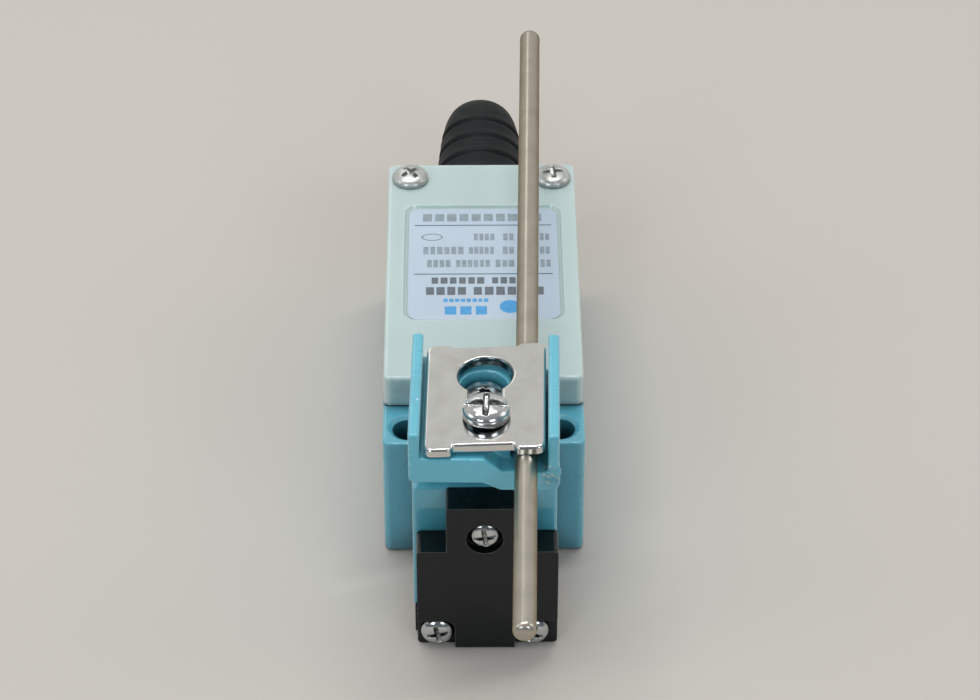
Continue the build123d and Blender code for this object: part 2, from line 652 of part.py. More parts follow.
def clamp_plate():
    """Plated steel plate over the rod, tilted so that its right side grips it."""
    plate = extrude(plate_outline(), amount=PLATE_THICK)
    slot = block(both_sides(KEYHOLE_SLOT_R), (CLAMP_Y - 1.2, 0), (-1, 3))
    slot += round_z(0, CLAMP_Y - 1.2, KEYHOLE_SLOT_R, (-1, 3)) + round_z(0, 0, KEYHOLE_R, (-1, 3))
    plate -= Pos(KEYHOLE_X, 0, 0) * slot
    plate = fillet(top_edges(plate, PLATE_THICK), PLATE_EDGE_R)
    lip = block((PLATE_LEFT, PLATE_LEFT + 1.1), (PLATE_MID_NEAR + 0.3, PLATE_MID_FAR - 0.6), (-0.2, 0.4))
    plate += lip
    contact = (ROD_X, ROD_Z + ROD_R + 0.03)
    lift = contact[1] - contact[0] * math.tan(math.radians(PLATE_TILT))
    return in_lever_frame(Pos(0, 0, lift) * Rot(0, -PLATE_TILT, 0) * plate)


def clamp_screw():
    tilt = math.radians(PLATE_TILT)
    lift = ROD_Z + ROD_R + 0.03 - (ROD_X - CLAMP_X - 3.15) * math.tan(tilt) + PLATE_THICK / math.cos(tilt)
    screw = pan_screw(3.15, 2.3, CLAMP_R, 5.6, slot=True)
    return in_lever_frame(Pos(CLAMP_X, CLAMP_Y, lift) * screw)


def lever_rod():
    """Round steel rod with rounded ends, which slides through the lever's clamp."""
    rod = round_y(ROD_X, ROD_Z, ROD_R, (ROD_NEAR, ROD_NEAR + ROD_LENGTH))
    return in_lever_frame(fillet(rod.edges().filter_by(GeomType.CIRCLE), ROD_END_R))


# ---------------------------------------------------------------- built-in switch
LID_Z = (CASE_Z[1], CASE_Z[1] + 1.5)
LID_SINK = 0.4  # height of the screw seats above the lid's underside
POCKET_X = 9.2
POCKET_Y = (CASE_Y[0] + 1.3, 33.0)
POCKET_Z = (4.0, CASE_Z[1])
SLIDER_HALF = 2.6
SLIDER_Z = (PLUNGER_Z - 2.4, PLUNGER_Z + 2.4)
SLIDER_Y = (14.4, 27.0)
BUTTON_R = 1.9
BRIDGE_THICK = 0.5
WINDOW_Y = (BRIDGE_Y - BRIDGE_THICK / 2 - 0.35, 25.4)
BUTTON_START_Y = PUSH_END_Y + 0.02
CONTACT_R = 1.1
CONTACT_THICK = 0.5
NC_FACE_Y = BRIDGE_Y - BRIDGE_THICK / 2 - CONTACT_THICK
NO_FACE_Y = BRIDGE_Y + BRIDGE_THICK / 2 + CONTACT_THICK + BRIDGE_STROKE + 0.02
STRIP = 0.8
STRIP_HALF = 1.5
NC_LEVEL = 5.0
NO_LEVEL = 7.6
TERMINAL_X = (7.2, 3.1)
TERMINAL_Y = 41.0
TERMINAL_SCREW_R = 1.2


def switch_case():
    case = block(both_sides(CASE_HALF), CASE_Y, CASE_Z)
    case += block(both_sides(CASE_HALF), (CASE_Y[1] - 1, 45.0), (CASE_Z[0], NC_LEVEL))
    case += block(both_sides(5.0), (CASE_Y[1] - 1, 45.0), (CASE_Z[0], NO_LEVEL))
    case = fillet(edges_along(case, Axis.Z), 0.4)
    case -= block(both_sides(POCKET_X), POCKET_Y, POCKET_Z)
    for x, y in SWITCH_SCREWS:
        case += round_z(x, y, 2.6, CASE_Z) & block(both_sides(CASE_HALF), CASE_Y, CASE_Z)
    case -= round_y(0, PLUNGER_Z, BUTTON_R + 0.05, (CASE_Y[0] - 1, POCKET_Y[0] + 1))
    for x, y in SWITCH_SCREWS:
        case -= round_z(x, y, SWITCH_SCREW_R + 0.1, (0, 30))
    for side in (-1, 1):
        for x, level in ((TERMINAL_X[0], NC_LEVEL), (TERMINAL_X[1], NO_LEVEL)):
            slot = (side * x - STRIP_HALF - 0.05, side * x + STRIP_HALF + 0.05)
            case -= block(slot, (POCKET_Y[1] - 1, CASE_Y[1] + 1), (level, level + STRIP + 0.05))
            case -= round_z(side * x, TERMINAL_Y, TERMINAL_SCREW_R + 0.3, (CASE_Z[0] + 0.8, level + 1))
    return case


def switch_lid():
    lid = block(both_sides(CASE_HALF), CASE_Y, LID_Z)
    lid = fillet(edges_along(lid, Axis.Z), 0.4)
    lid = fillet(top_edges(lid, LID_Z[1]), 0.3)
    for x, y in SWITCH_SCREWS:
        lid -= round_z(x, y, SWITCH_SCREW_R + 0.1, (LID_Z[0] - 1, LID_Z[1] + 1))
        lid -= round_z(x, y, 2.5, (LID_Z[0] + LID_SINK, LID_Z[1] + 1))
    return lid


def switch_screws():
    for x, y in SWITCH_SCREWS:
        seat = LID_Z[0] + LID_SINK
        yield Pos(x, y, seat) * pan_screw(2.1, 1.2, SWITCH_SCREW_R, seat - 1.0)


def switch_slider():
    """Button and carriage of the built-in switch, with a window that holds the contact bridge."""
    slider = block(both_sides(SLIDER_HALF), SLIDER_Y, SLIDER_Z)
    slider = fillet(edges_along(slider, Axis.Y), 0.5)
    slider += round_y(0, PLUNGER_Z, BUTTON_R, (BUTTON_START_Y, SLIDER_Y[0] + 1))
    slider -= block((-5, 5), WINDOW_Y, (PLUNGER_Z - 1.7, PLUNGER_Z + 1.7))
    return slider


def contact_bridge():
    """Sprung brass bridge that rests on the closed contacts and moves to the open ones."""
    y = (BRIDGE_Y - BRIDGE_THICK / 2 + 0.01, BRIDGE_Y + BRIDGE_THICK / 2)
    bridge = block(both_sides(CONTACT_X + 1.4), y, (PLUNGER_Z - 1.6, PLUNGER_Z + 1.6))
    return fillet(edges_along(bridge, Axis.Y), 0.5)


def moving_contacts():
    faces = (
        (BRIDGE_Y - BRIDGE_THICK / 2 - CONTACT_THICK + 0.02, BRIDGE_Y - BRIDGE_THICK / 2),
        (BRIDGE_Y + BRIDGE_THICK / 2, BRIDGE_Y + BRIDGE_THICK / 2 + CONTACT_THICK),
    )
    for x in both_sides(CONTACT_X):
        for y in faces:
            yield round_y(x, PLUNGER_Z, CONTACT_R, y)


def contact_spring():
    length = WINDOW_Y[1] - BRIDGE_Y - BRIDGE_THICK / 2
    spring = coil(1.25, 0.2, length - 0.04, 4)
    return Pos(0, BRIDGE_Y + BRIDGE_THICK / 2 + 0.02, PLUNGER_Z) * Rot(-90, 0, 0) * spring


def slider_spring():
    length = POCKET_Y[1] - SLIDER_Y[1]
    spring = coil(1.9, 0.25, length - 0.04, 5)
    return Pos(0, SLIDER_Y[1] + 0.02, PLUNGER_Z) * Rot(-90, 0, 0) * spring


def terminal(side, x, level, face, back):
    """Bent strip: an upright tongue behind a fixed contact, a run, and a tapped tag outside."""
    near, far = sorted((face, back))
    centre = side * CONTACT_X
    tag = side * x
    thickness = (level, level + STRIP)
    across = (min(centre, tag) - STRIP_HALF, max(centre, tag) + STRIP_HALF)
    tongue = block((centre - STRIP_HALF, centre + STRIP_HALF), (near, far), (level, PLUNGER_Z + 1.6))
    foot = block(across, (near, far + 3.0), thickness)
    run = block((tag - STRIP_HALF, tag + STRIP_HALF), (near, 44.6), thickness)
    strip = tongue + foot + run
    return strip - round_z(tag, TERMINAL_Y, TERMINAL_SCREW_R + THREAD_GAP, (level - 1, level + 2))


def nc_terminals():
    for side in (-1, 1):
        yield terminal(side, TERMINAL_X[0], NC_LEVEL, NC_FACE_Y, NC_FACE_Y - STRIP)


def no_terminals():
    for side in (-1, 1):
        yield terminal(side, TERMINAL_X[1], NO_LEVEL, NO_FACE_Y, NO_FACE_Y + STRIP)


CLAMP_WASHER = 0.8


def terminal_places():
    for side in (-1, 1):
        for x, level in ((TERMINAL_X[0], NC_LEVEL), (TERMINAL_X[1], NO_LEVEL)):
            yield side * x, level + STRIP


def terminal_clamps():
    length = (TERMINAL_Y - 2.4, TERMINAL_Y + 2.4)
    for x, z in terminal_places():
        plate = block((x - STRIP_HALF, x + STRIP_HALF), length, (z, z + CLAMP_WASHER))
        yield plate - round_z(x, TERMINAL_Y, TERMINAL_SCREW_R + 0.1, (z - 1, z + 2))


def terminal_screws():
    for x, z in terminal_places():
        yield Pos(x, TERMINAL_Y, z + CLAMP_WASHER) * pan_screw(1.75, 1.4, TERMINAL_SCREW_R, 3.4)


# ---------------------------------------------------------------- write every piece
for piece in (
    housing, cover_gasket, front_cover, label, stem_seal,
    gland_body, gland_washer, gland_locknut, gland_nut, cable_boot,
    head_casting, head_gasket, head_cap, cap_centre_screw,
    shaft_bush, shaft_seal_ring, seal_guard, shaft, shaft_clip,
    return_plunger, return_spring, operating_plunger, plunger_spring,
    lever_arm, lever_screw, clamp_plate, clamp_screw, lever_rod,
    switch_case, switch_lid, switch_slider, contact_bridge, contact_spring, slider_spring,
):
    export(piece.__name__, piece())

for group in (
    cover_screws, cap_corner_screws, head_screws, switch_screws,
    moving_contacts, nc_terminals, no_terminals, terminal_clamps, terminal_screws,
):
    export(group.__name__, *group())
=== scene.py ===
import json
import math

import bmesh
import bpy
from mathutils import Matrix, Vector, noise


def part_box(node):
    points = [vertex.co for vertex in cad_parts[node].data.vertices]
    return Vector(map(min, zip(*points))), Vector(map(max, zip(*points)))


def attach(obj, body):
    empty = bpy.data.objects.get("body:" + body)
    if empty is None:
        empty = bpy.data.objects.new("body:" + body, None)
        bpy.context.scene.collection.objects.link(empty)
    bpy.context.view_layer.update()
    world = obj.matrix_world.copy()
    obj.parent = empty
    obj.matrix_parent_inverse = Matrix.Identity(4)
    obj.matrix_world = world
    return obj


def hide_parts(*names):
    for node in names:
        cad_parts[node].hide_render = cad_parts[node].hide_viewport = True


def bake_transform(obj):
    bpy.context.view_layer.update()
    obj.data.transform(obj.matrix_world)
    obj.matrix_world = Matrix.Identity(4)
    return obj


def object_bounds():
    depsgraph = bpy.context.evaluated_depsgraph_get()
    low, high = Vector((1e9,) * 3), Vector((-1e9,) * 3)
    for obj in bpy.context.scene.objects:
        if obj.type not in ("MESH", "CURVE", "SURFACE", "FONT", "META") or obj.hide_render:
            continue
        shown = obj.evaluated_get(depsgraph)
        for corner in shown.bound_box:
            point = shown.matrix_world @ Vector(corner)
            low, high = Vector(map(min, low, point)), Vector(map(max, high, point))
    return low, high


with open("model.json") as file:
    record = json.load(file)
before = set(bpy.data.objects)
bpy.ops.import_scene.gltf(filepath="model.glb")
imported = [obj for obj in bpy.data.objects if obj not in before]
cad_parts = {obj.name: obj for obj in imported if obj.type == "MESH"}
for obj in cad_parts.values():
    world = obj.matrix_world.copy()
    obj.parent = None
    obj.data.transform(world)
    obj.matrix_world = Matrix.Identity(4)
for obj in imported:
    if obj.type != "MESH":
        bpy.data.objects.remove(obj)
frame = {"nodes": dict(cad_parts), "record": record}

cad_low, cad_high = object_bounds()

MM = 0.001
TAU = 2 * math.pi

# ---------------------------------------------------------------- camera, floor and light
CAMERA_PLACE = Vector((-2.02, -366.9, 325.1)) * MM
CAMERA_DOWN = 38.5  # degrees below the horizon
CAMERA_HEADING = 0.45  # degrees from +Y towards +X
CAMERA_LENS = 126.73
FLOOR_COLOR = (0.57, 0.535, 0.49, 1.0)
FLOOR_SIZE = 6.0
FLOOR_MIDDLE = (0.0, 0.5)
FLOOR_DROP = 0.02 * MM  # keeps the floor just clear of the rear face
WORLD_FRONT = (0.14, 0.155, 0.18, 1.0)
WORLD_BACK = (0.68, 0.68, 0.66, 1.0)
WORLD_TOP = (0.42, 0.42, 0.42, 1.0)
LIGHT_AIM = (0.0, 0.02, 0.01)
SOFTBOXES = (  # name, place, width and height in metres, watts, colour
    ("key_above_behind", (-0.12, 0.45, 1.0), (0.7, 0.35), 0.8, (1.0, 0.98, 0.96)),
    ("strip_overhead", (-0.05, 0.16, 0.95), (0.9, 0.045), 3.5, (1.0, 0.99, 0.98)),
    ("window_left", (-0.45, -0.80, 0.56), (0.35, 0.35), 1.75, (0.88, 0.95, 1.0)),
    ("window_right", (0.48, -0.80, 0.56), (0.35, 0.35), 1.75, (0.88, 0.95, 1.0)),
    ("fill_left", (-0.85, -0.1, 0.55), (0.4, 0.4), 0.9, (0.95, 0.98, 1.0)),
    ("glint_behind", (-0.2, 0.8, 0.56), (0.12, 0.25), 0.18, (1.0, 1.0, 1.0)),
    ("fill_right", (0.8, 0.1, 0.5), (0.3, 0.4), 0.7, (1.0, 0.98, 0.96)),
)


def link(obj):
    bpy.context.scene.collection.objects.link(obj)
    return obj


def make_camera():
    data = bpy.data.cameras.new("camera")
    data.lens = CAMERA_LENS
    data.sensor_width = 36.0
    data.clip_start = 0.01
    camera = link(bpy.data.objects.new("camera", data))
    camera.location = CAMERA_PLACE
    camera.rotation_euler = (math.radians(90 - CAMERA_DOWN), 0.0, math.radians(-CAMERA_HEADING))
    bpy.context.scene.camera = camera


def softbox(name, place, size, power, color):
    """A rectangular area light at place that faces the object."""
    data = bpy.data.lights.new(name, "AREA")
    data.shape = "RECTANGLE"
    data.size, data.size_y = size
    data.energy = power
    data.color = color
    lamp = link(bpy.data.objects.new(name, data))
    lamp.location = place
    lamp.rotation_euler = (Vector(LIGHT_AIM) - Vector(place)).to_track_quat("-Z", "Y").to_euler()


def make_world():
    """Even studio surroundings: bright above and behind the object, dimmer in front of it."""
    world = bpy.data.worlds.new("studio")
    bpy.context.scene.world = world
    world.use_nodes = True
    tree = world.node_tree
    background = tree.nodes["Background"]
    direction = tree.nodes.new("ShaderNodeTexCoord").outputs["Generated"]
    split = tree.nodes.new("ShaderNodeSeparateXYZ")
    tree.links.new(direction, split.inputs[0])

    def eased(axis, low, high):
        """0 below low along a world axis, rising smoothly to 1 at high."""
        node = tree.nodes.new("ShaderNodeMapRange")
        node.interpolation_type = "SMOOTHSTEP"
        tree.links.new(split.outputs[axis], node.inputs["Value"])
        node.inputs["From Min"].default_value = low
        node.inputs["From Max"].default_value = high
        return node.outputs["Result"]

    sides = tree.nodes.new("ShaderNodeMix")
    sides.data_type = "RGBA"
    tree.links.new(eased("Y", -0.75, 0.65), sides.inputs["Factor"])
    sides.inputs["A"].default_value = WORLD_FRONT
    sides.inputs["B"].default_value = WORLD_BACK
    top = tree.nodes.new("ShaderNodeMix")
    top.data_type = "RGBA"
    tree.links.new(eased("Z", 0.55, 0.98), top.inputs["Factor"])
    tree.links.new(sides.outputs["Result"], top.inputs["A"])
    top.inputs["B"].default_value = WORLD_TOP
    tree.links.new(top.outputs["Result"], background.inputs["Color"])
    background.inputs["Strength"].default_value = 1.0


def make_floor():
    place = (*FLOOR_MIDDLE, cad_low.z - FLOOR_DROP)
    bpy.ops.mesh.primitive_plane_add(size=FLOOR_SIZE, location=place)
    floor = bpy.context.object
    floor.name = "floor"
    material = bpy.data.materials.new("pale_floor")
    material.use_nodes = True
    shader = material.node_tree.nodes["Principled BSDF"]
    shader.inputs["Base Color"].default_value = FLOOR_COLOR
    shader.inputs["Roughness"].default_value = 0.55
    floor.data.materials.append(material)


def make_stage():
    bpy.context.scene.view_settings.view_transform = "Standard"
    make_camera()
    make_world()
    make_floor()
    for light in SOFTBOXES:
        softbox(*light)


# ---------------------------------------------------------------- procedural materials
def srgb(red, green, blue):
    """Linear colour of a display colour given from 0 to 255."""
    def linear(value):
        value /= 255.0
        return value / 12.92 if value <= 0.04045 else ((value + 0.055) / 1.055) ** 2.4

    return (linear(red), linear(green), linear(blue), 1.0)


def scaled(color, factor):
    return tuple(min(1.0, part * factor) for part in color[:3]) + (1.0,)


class Look:
    """A Principled material, with short calls for the procedural nodes that feed it."""

    def __init__(self, name, **sockets):
        self.material = bpy.data.materials.new(name)
        self.material.use_nodes = True
        self.tree = self.material.node_tree
        self.shader = self.tree.nodes["Principled BSDF"]
        for key, value in sockets.items():
            self.shader.inputs[key.replace("_", " ")].default_value = value
        self.place = self.tree.nodes.new("ShaderNodeTexCoord").outputs["Object"]

    def add(self, kind, inputs, **settings):
        node = self.tree.nodes.new(kind)
        for key, value in settings.items():
            setattr(node, key, value)
        for socket, value in inputs.items():
            if isinstance(value, bpy.types.NodeSocket):
                self.tree.links.new(value, node.inputs[socket])
            else:
                node.inputs[socket].default_value = value
        return node

    def feed(self, socket, value):
        self.tree.links.new(value, self.shader.inputs[socket])

    def grain(self, size, detail=3.0, stretch=(1.0, 1.0, 1.0), rough=0.5):
        """Noise whose features are about size metres across, longer along an axis with a small stretch."""
        mapped = self.add("ShaderNodeMapping", {"Vector": self.place, "Scale": stretch}, vector_type="POINT")
        settings = {"Vector": mapped.outputs["Vector"], "Scale": 1.0 / size}
        settings.update({"Detail": detail, "Roughness": rough})
        return self.add("ShaderNodeTexNoise", settings).outputs["Fac"]

    def span(self, value, low, high, out_low=0.0, out_high=1.0):
        inputs = {"Value": value, "From Min": low, "From Max": high, "To Min": out_low, "To Max": out_high}
        return self.add("ShaderNodeMapRange", inputs).outputs["Result"]

    def blend(self, factor, first, second):
        inputs = {"Factor": factor, "A": first, "B": second}
        return self.add("ShaderNodeMix", inputs, data_type="RGBA").outputs["Result"]

    def maths(self, operation, first, second):
        return self.add("ShaderNodeMath", {0: first, 1: second}, operation=operation).outputs[0]

    def soft_edges(self, radius):
        return self.add("ShaderNodeBevel", {"Radius": radius}, samples=6).outputs["Normal"]

    def edge_mask(self, soft_normal, low=0.02, high=0.22):
        """From 0 on open faces to 1 along sharp edges."""
        geometry = self.tree.nodes.new("ShaderNodeNewGeometry").outputs["Normal"]
        dot = self.add("ShaderNodeVectorMath", {0: soft_normal, 1: geometry}, operation="DOT_PRODUCT")
        away = self.maths("SUBTRACT", 1.0, dot.outputs["Value"])
        return self.span(away, low, high)

    def hollow_shade_mask(self, reach, open_share=0.7, closed_share=0.15):
        """From 0 in the open to 1 deep in holes and corners closer together than reach: the mask for painted
        shade.
        """
        seen = self.add("ShaderNodeAmbientOcclusion", {"Distance": reach}, samples=6).outputs["AO"]
        return self.span(seen, open_share, closed_share)

    def distance(self, place):
        """Distance in metres from a place."""
        inputs = {0: self.place, 1: place}
        return self.add("ShaderNodeVectorMath", inputs, operation="DISTANCE").outputs["Value"]

    def bump(self, height, distance, normal=None, strength=1.0):
        inputs = {"Height": height, "Distance": distance, "Strength": strength}
        if normal is not None:
            inputs["Normal"] = normal
        return self.add("ShaderNodeBump", inputs).outputs["Normal"]


def enamel(name, color, worn, painted_shade_reach, painted_shade_tone, chips=()):
    """Baked enamel over a casting: slight mottling, orange peel, and lighter edges, partly thinner paint and
    partly painted highlight.

    Hollows narrower than the given reach darken towards the given tone, as painted shade. Chips are (place,
    radius) where broken paint shows patches of bare metal.
    """
    look = Look(name, Coat_Weight=1.0, Coat_Roughness=0.06, Coat_IOR=1.6)
    soft = look.soft_edges(0.33 * MM)
    mottle = look.span(look.grain(9 * MM, 4.0), 0.3, 0.7)
    fine = look.span(look.grain(1.3 * MM, 2.0), 0.35, 0.65)
    base = look.blend(mottle, scaled(color, 0.94), scaled(color, 1.05))
    base = look.blend(look.maths("MULTIPLY", fine, 0.25), base, scaled(color, 1.1))
    patchy = look.span(look.grain(2.2 * MM, 4.0), 0.36, 0.62)
    # Lighter edges towards the worn colour: partly thinner paint, partly a painted highlight where edges
    # catch the light.
    edges = look.maths("MULTIPLY", look.edge_mask(soft), look.maths("MULTIPLY", patchy, 0.8))
    base = look.blend(edges, base, worn)
    # Painted shade: hollows and corners darken, as where less light reaches.
    base = look.blend(look.hollow_shade_mask(painted_shade_reach), base, scaled(color, painted_shade_tone))
    bare = 0.0
    for place, radius in chips:
        near = look.span(look.distance(place), radius, 0.35 * radius)
        broken = look.span(look.grain(0.8 * MM, 2.0), 0.57, 0.61)
        bare = look.maths("MAXIMUM", look.maths("MULTIPLY", near, broken), bare)
    if chips:
        base = look.blend(bare, base, BARE_ZINC)
        look.feed("Metallic", look.maths("MULTIPLY", bare, 0.85))
    look.feed("Base Color", base)
    look.feed("Roughness", look.span(look.grain(3 * MM, 4.0), 0.25, 0.75, 0.24, 0.38))
    peel = look.bump(look.grain(1.0 * MM, 2.0), 0.010 * MM, soft)
    look.feed("Normal", look.bump(look.grain(0.25 * MM, 1.0), 0.0015 * MM, peel))
    return look.material


def moulded(name, color, roughness, grain_depth, coat=0.0, lift=1.08, edge=0.25, shine=0.5,
            rounding=0.18 * MM, wear_and_highlight_color=None, glow=0.0):
    """Moulded plastic or rubber: fine spark texture, faint flow marks and lighter edges, partly rubbed wear
    and partly painted highlight.
    """
    low, high = roughness
    look = Look(
        name, Coat_Weight=coat, Coat_Roughness=0.07, Coat_IOR=1.7, Specular_IOR_Level=shine,
        Subsurface_Weight=glow, Subsurface_Radius=(1.0, 1.0, 1.0), Subsurface_Scale=2.5 * MM,
    )
    soft = look.soft_edges(rounding)
    flow = look.span(look.grain(14 * MM, 3.0, (1.0, 0.35, 1.0)), 0.3, 0.7)
    base = look.blend(flow, scaled(color, 0.95), scaled(color, lift))
    # Lighter edges: partly rubbed wear, partly a painted highlight along edges that catch the light.
    wear_and_highlight = look.maths("MULTIPLY", look.edge_mask(soft), edge)
    look.feed("Base Color", look.blend(wear_and_highlight, base, wear_and_highlight_color or scaled(color, 1.6)))
    look.feed("Roughness", look.span(look.grain(2.5 * MM, 5.0), 0.3, 0.7, low, high))
    look.feed("Normal", look.bump(look.grain(0.3 * MM, 3.0), grain_depth, soft))
    return look.material


def plated(name, color, roughness, stretch=(1.0, 1.0, 1.0), scratch=0.0012 * MM, stain=0.85,
           grazing=(1.0, 1.0, 1.0, 1.0), shaded_rim=None):
    """Plated metal: faint stains, drawn or polished scratches, and slightly uneven gloss.

    Grazing tints what it mirrors at glancing angles. A rim at (place, radius) darkens towards a teal grey: a
    painted shade and reflection on the wall of an opening.
    """
    low, high = roughness
    look = Look(name, Metallic=1.0, Specular_Tint=grazing)
    soft = look.soft_edges(0.10 * MM)
    cloud = look.span(look.grain(3.5 * MM, 4.0), 0.38, 0.72)
    base = look.blend(cloud, color, scaled(color, stain))
    # Painted shade and reflection: the opening's rim and wall darken towards a teal grey.
    if shaded_rim:
        place, radius = shaded_rim
        rim_shade = look.span(look.distance(place), radius + 0.12 * MM, radius)
        base = look.blend(look.maths("MULTIPLY", rim_shade, 0.85), base, RIM_SHADE_TEAL)
    look.feed("Base Color", base)
    look.feed("Roughness", look.span(look.grain(1.8 * MM, 5.0, stretch), 0.3, 0.7, low, high))
    fine = look.grain(0.16 * MM, 2.0, stretch, 0.6)
    wavy = look.bump(look.grain(5 * MM, 1.0), 0.012 * MM, soft)
    look.feed("Normal", look.bump(fine, scratch, wavy))
    return look.material


def turned_screw(name, color, roughness, recess_shade_tone=0.12):
    """Plated screw: rings from the turning tool about its own axis, small dents, and painted shade in its
    recesses.
    """
    low, high = roughness
    look = Look(name, Metallic=1.0)
    rings = {"Vector": look.place, "Scale": 1.0 / (0.9 * MM), "Distortion": 1.2, "Detail": 2.0}
    settings = {"wave_type": "RINGS", "rings_direction": "SPHERICAL"}
    wave = look.add("ShaderNodeTexWave", rings, **settings).outputs["Fac"]
    cloud = look.span(look.grain(1.6 * MM, 4.0), 0.35, 0.7)
    base = look.blend(cloud, color, scaled(color, 0.82))
    # Painted shade: the recess, and the head's side next to what it sits on, darken towards the recess tone.
    look.feed("Base Color", look.blend(look.hollow_shade_mask(1.8 * MM, 0.9, 0.4), base, scaled(color, recess_shade_tone)))
    look.feed("Roughness", look.span(look.grain(0.7 * MM, 4.0), 0.3, 0.7, low, high))
    dents = look.bump(look.grain(0.9 * MM, 3.0), 0.03 * MM)
    look.feed("Normal", look.bump(wave, 0.0012 * MM, dents))
    return look.material


def film(name, color):
    """Printed film label: satin, faintly fibrous, with a slight tone change across it."""
    look = Look(name, Roughness=0.42, Coat_Weight=0.2, Coat_Roughness=0.3)
    tone = look.span(look.grain(12 * MM, 2.0), 0.3, 0.7)
    look.feed("Base Color", look.blend(tone, scaled(color, 0.97), scaled(color, 1.03)))
    look.feed("Roughness", look.span(look.grain(1.5 * MM, 3.0), 0.3, 0.7, 0.36, 0.5))
    look.feed("Normal", look.bump(look.grain(0.4 * MM, 2.0), 0.001 * MM))
    return look.material


BLUE = srgb(85, 173, 194)
# Pale blue of the enamel's edges: partly worn paint, partly painted highlight.
BLUE_WEAR_AND_HIGHLIGHT = srgb(196, 228, 236)
AQUA = srgb(187, 208, 207)
LABEL_WHITE = srgb(188, 204, 220)
NICKEL = srgb(221, 220, 217)
ROD_METAL = srgb(190, 184, 172)
ZINC = srgb(214, 216, 216)
BARE_ZINC = srgb(205, 212, 214)
# Teal grey painted on the keyhole's rim: painted shade and reflection of the blue lever.
RIM_SHADE_TEAL = srgb(74, 96, 100)
KEYHOLE = Vector((0.2, -9.0, 36.2)) * MM  # centre of the plate's round opening, in its top face
KEYHOLE_RIM = 3.80 * MM
GATE_MARK = Vector((9.3, -24.4, 31.6)) * MM  # where the casting's gate was broken off the lever

LOOKS = {
    # Each enamel's reach and tone set its painted shade; the housing's darkens its deep mounting holes.
    "housing_paint": enamel("housing_enamel", BLUE, BLUE_WEAR_AND_HIGHLIGHT, 5.5 * MM, 0.15),
    "head_paint": enamel("head_enamel", scaled(BLUE, 0.95), BLUE_WEAR_AND_HIGHLIGHT, 1.5 * MM, 0.6),
    # The lever's blue is a lighter copy of the housing's: painted light that brightens its shaded floor.
    "lever_paint": enamel(
        "lever_enamel", scaled(BLUE, 1.15), BLUE_WEAR_AND_HIGHLIGHT, 1.0 * MM, 0.85, ((GATE_MARK, 2.6 * MM),)
    ),
    # The cover's edges are lightened strongly: painted highlight lines along them, with some rubbed wear.
    "cover_plastic": moulded(
        "cover_moulding", AQUA, (0.3, 0.42), 0.003 * MM, 0.9, 1.03, 0.85, rounding=0.4 * MM, glow=0.6
    ),
    "label_film": film("label_film", LABEL_WHITE),
    # The cap's lighter grey edges: painted highlight lines, with some rubbed wear.
    "black_plastic": moulded(
        "cap_moulding", (0.0040, 0.0062, 0.0068, 1.0), (0.2, 0.32), 0.003 * MM, 0.15,
        edge=0.9, shine=0.24, wear_and_highlight_color=(0.15, 0.16, 0.165, 1.0),
    ),
    "gasket_rubber": moulded("gasket_rubber", (0.018, 0.018, 0.02, 1.0), (0.6, 0.8), 0.01 * MM),
    "boot_rubber": moulded(
        "boot_rubber", (0.0022, 0.0042, 0.0055, 1.0), (0.45, 0.6), 0.01 * MM, 0.0, 1.2, 0.3, 0.2
    ),
    "screw_plating": turned_screw("screw_zinc", ZINC, (0.10, 0.22)),
    "inner_screw_plating": plated("inner_zinc", srgb(205, 200, 180), (0.2, 0.35)),
    # The plate's keyhole rim carries a painted shade and reflection.
    "nickel_plate": plated(
        "polished_nickel", NICKEL, (0.08, 0.17), (1.0, 0.3, 1.0), 0.0008 * MM, 0.88,
        shaded_rim=(KEYHOLE, KEYHOLE_RIM),
    ),
    "rod_steel": plated(
        "drawn_rod", ROD_METAL, (0.26, 0.36), (1.0, 0.02, 1.0), 0.002 * MM, grazing=(0.52, 0.46, 0.36, 1.0)
    ),
    "shaft_steel": plated("turned_steel", srgb(198, 198, 198), (0.2, 0.35), (1.0, 1.0, 8.0)),
    "spring_steel": plated("spring_wire", srgb(180, 180, 178), (0.2, 0.32)),
    "gland_brass": plated("plated_brass", srgb(205, 200, 186), (0.2, 0.34)),
    "bearing_bronze": plated("sintered_bronze", srgb(190, 150, 95), (0.35, 0.5)),
    "contact_brass": plated("stamped_brass", srgb(214, 184, 120), (0.22, 0.38)),
    "switch_moulding": moulded("phenolic", (0.05, 0.045, 0.04, 1.0), (0.4, 0.55), 0.006 * MM),
    "plunger_plastic": moulded("white_moulding", (0.62, 0.60, 0.55, 1.0), (0.35, 0.5), 0.004 * MM),
}
DULL_ZINC = turned_screw("weathered_zinc", srgb(210, 213, 210), (0.3, 0.46), 0.5)


def dress(obj, slot_name, look=None):
    """Gives a piece its slot's look, or a variant of it."""
    obj.data.materials.clear()
    obj.data.materials.append(look or LOOKS[slot_name])


def dress_cad_nodes():
    for subpart in frame["record"]["subparts"]:
        dress(frame["nodes"][subpart["node"]], subpart["material_slot"])


SLOT_OF = {subpart["node"]: subpart["material_slot"] for subpart in frame["record"]["subparts"]}
BODY_OF = {node: body for body, nodes in frame["record"]["behaviour"]["bodies"].items() for node in nodes}


def stand_in(name, mesh, node, matrix=None, look=None):
    """A piece made here that shows in place of a CAD node, and rides on that node's body."""
    obj = link(bpy.data.objects.new(name, mesh))
    if matrix is not None:
        obj.matrix_world = matrix
    dress(obj, SLOT_OF[node], look)
    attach(obj, BODY_OF[node])
    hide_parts(node)
    return obj


def smooth_mesh(name, vertices, faces):
    mesh = bpy.data.meshes.new(name)
    mesh.from_pydata(vertices, [], faces)
    mesh.validate()
    mesh.update()
    mesh.shade_smooth()
    return mesh


